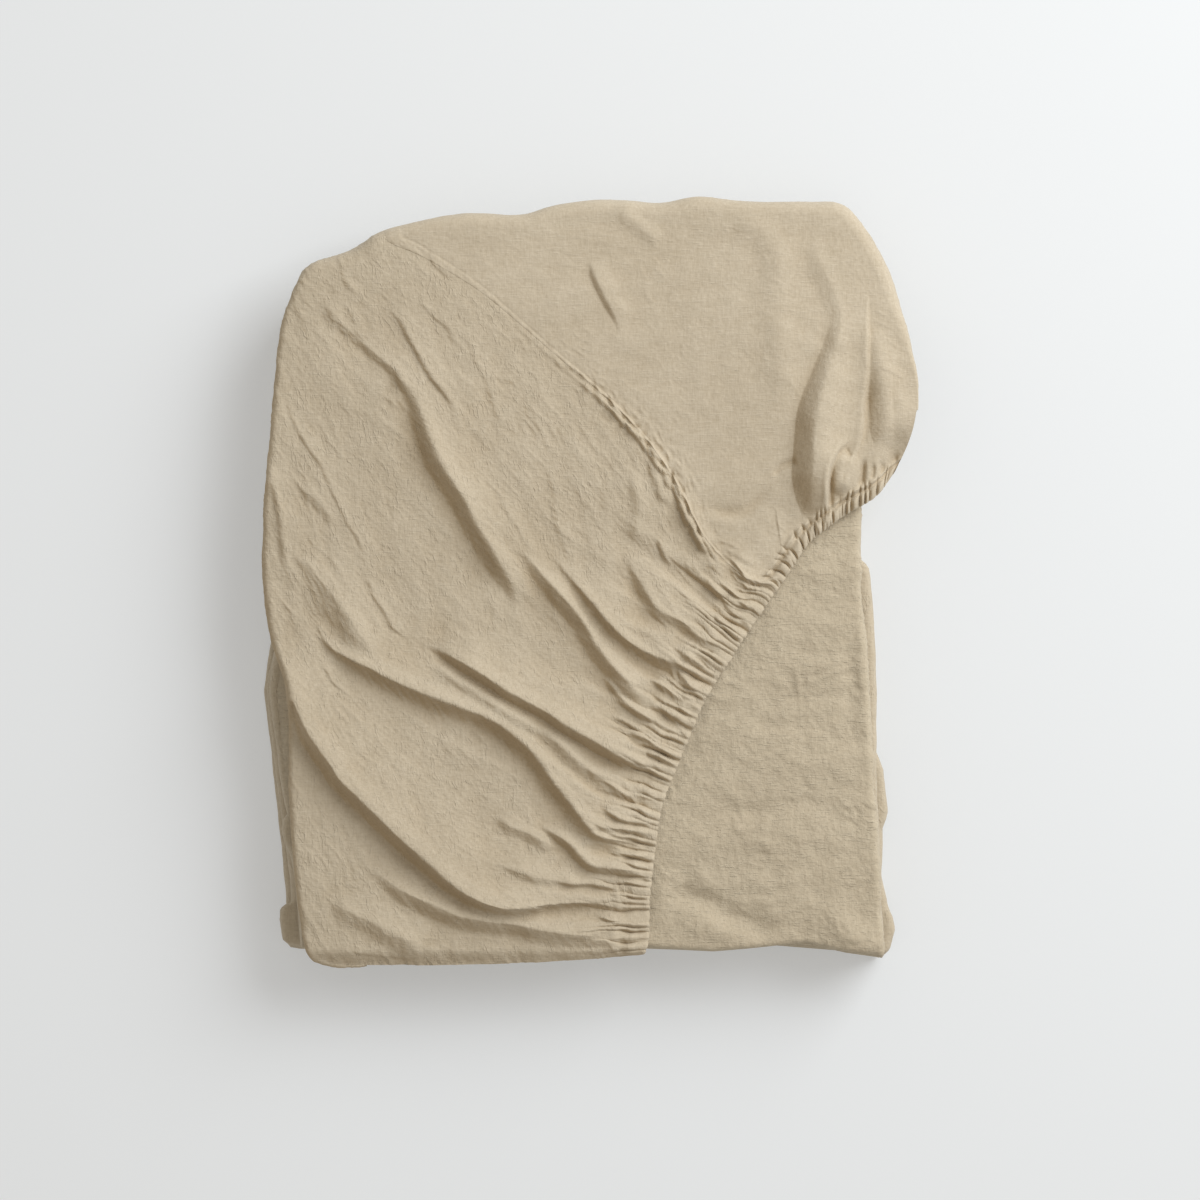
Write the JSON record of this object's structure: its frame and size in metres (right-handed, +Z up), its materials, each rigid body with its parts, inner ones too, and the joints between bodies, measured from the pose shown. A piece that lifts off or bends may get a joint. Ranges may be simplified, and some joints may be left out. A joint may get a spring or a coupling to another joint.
{
  "type": "folded fitted sheet",
  "caption": "Fitted bed sheet folded into a flat bundle, with a gathered elastic corner pocket lying across the top.",
  "frame": {"origin": "centre of the bundle's box, on the surface that it lies on", "axes": "+X to the right across the bundle, +Y from its front edge to its back edge, +Z up"},
  "size_m": [0.3294, 0.3872, 0.0554],
  "materials": {
    "cloth": "matt washed cloth, finely creased"
  },
  "bodies": {
    "root": {"fitted_sheet": "cloth"}
  },
  "joints": []
}
